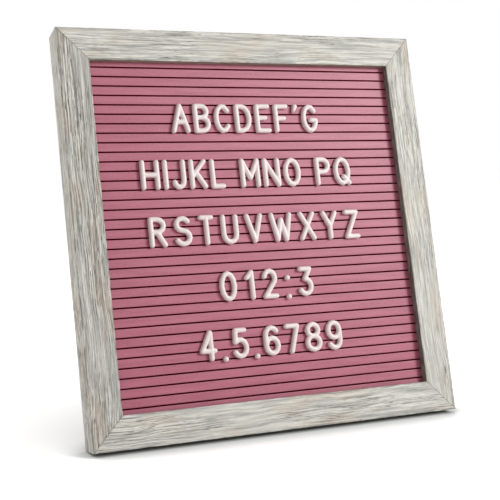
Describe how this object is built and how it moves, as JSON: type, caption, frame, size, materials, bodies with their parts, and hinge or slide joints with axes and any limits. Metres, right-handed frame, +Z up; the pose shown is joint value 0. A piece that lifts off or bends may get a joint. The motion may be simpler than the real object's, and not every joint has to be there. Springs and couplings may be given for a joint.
{
  "type": "felt letter board",
  "caption": "Mitred wooden frame round a grooved felt panel that holds push-in plastic characters, propped at a lean by a folding leg.",
  "frame": {"origin": "on the surface that the board stands on, at the middle of its footprint from the frame's front edge to the back of the leg's foot", "axes": "+X to the reader's right along the frame's width, +Y from the front to the back, +Z up"},
  "size_m": [0.2538, 0.0982, 0.2488],
  "materials": {
    "whitewashed_wood": "whitewashed and worn, matt",
    "pink_felt": "pressed felt, matt",
    "core_plastic": "extruded, dull",
    "hardboard": "hardboard, smooth side out",
    "white_plastic": "moulded, soft sheen",
    "leg_wood": "sanded, unfinished",
    "zinc_steel": "zinc plated, satin"
  },
  "bodies": {
    "board": {"rail_top": "whitewashed_wood", "rail_bottom": "whitewashed_wood", "rail_left": "whitewashed_wood", "rail_right": "whitewashed_wood", "felt_face": "pink_felt", "grooved_core": "core_plastic", "backing_board": "hardboard", "hinge_bracket": "zinc_steel", "hinge_pin": "zinc_steel", "bracket_screw_1": "zinc_steel", "bracket_screw_2": "zinc_steel", "bracket_screw_3": "zinc_steel", "bracket_screw_4": "zinc_steel", "sawtooth_hanger": "zinc_steel", "hanger_nail_1": "zinc_steel", "hanger_nail_2": "zinc_steel", "letter_A": "white_plastic", "letter_B": "white_plastic", "letter_C": "white_plastic", "letter_D": "white_plastic", "letter_E": "white_plastic", "letter_F": "white_plastic", "letter_G": "white_plastic", "letter_H": "white_plastic", "letter_I": "white_plastic", "letter_J": "white_plastic", "letter_K": "white_plastic", "letter_L": "white_plastic", "letter_M": "white_plastic", "letter_N": "white_plastic", "letter_O": "white_plastic", "letter_P": "white_plastic", "letter_Q": "white_plastic", "letter_R": "white_plastic", "letter_S": "white_plastic", "letter_T": "white_plastic", "letter_U": "white_plastic", "letter_V": "white_plastic", "letter_W": "white_plastic", "letter_X": "white_plastic", "letter_Y": "white_plastic", "letter_Z": "white_plastic", "digit_0": "white_plastic", "digit_1": "white_plastic", "digit_2": "white_plastic", "digit_3": "white_plastic", "digit_4": "white_plastic", "digit_5": "white_plastic", "digit_6": "white_plastic", "digit_7": "white_plastic", "digit_8": "white_plastic", "digit_9": "white_plastic", "apostrophe_1": "white_plastic", "colon_1": "white_plastic", "colon_2": "white_plastic", "full_stop_1": "white_plastic", "full_stop_2": "white_plastic"},
    "leg": {"stand_leg": "leg_wood"}
  },
  "joints": [
    {"name": "leg_hinge", "type": "hinge", "parent": "board", "child": "leg", "pos_m": [0, 0.01314, 0.16226], "axis": [1, 0, 0], "range_deg": [-25, 0]}
  ]
}
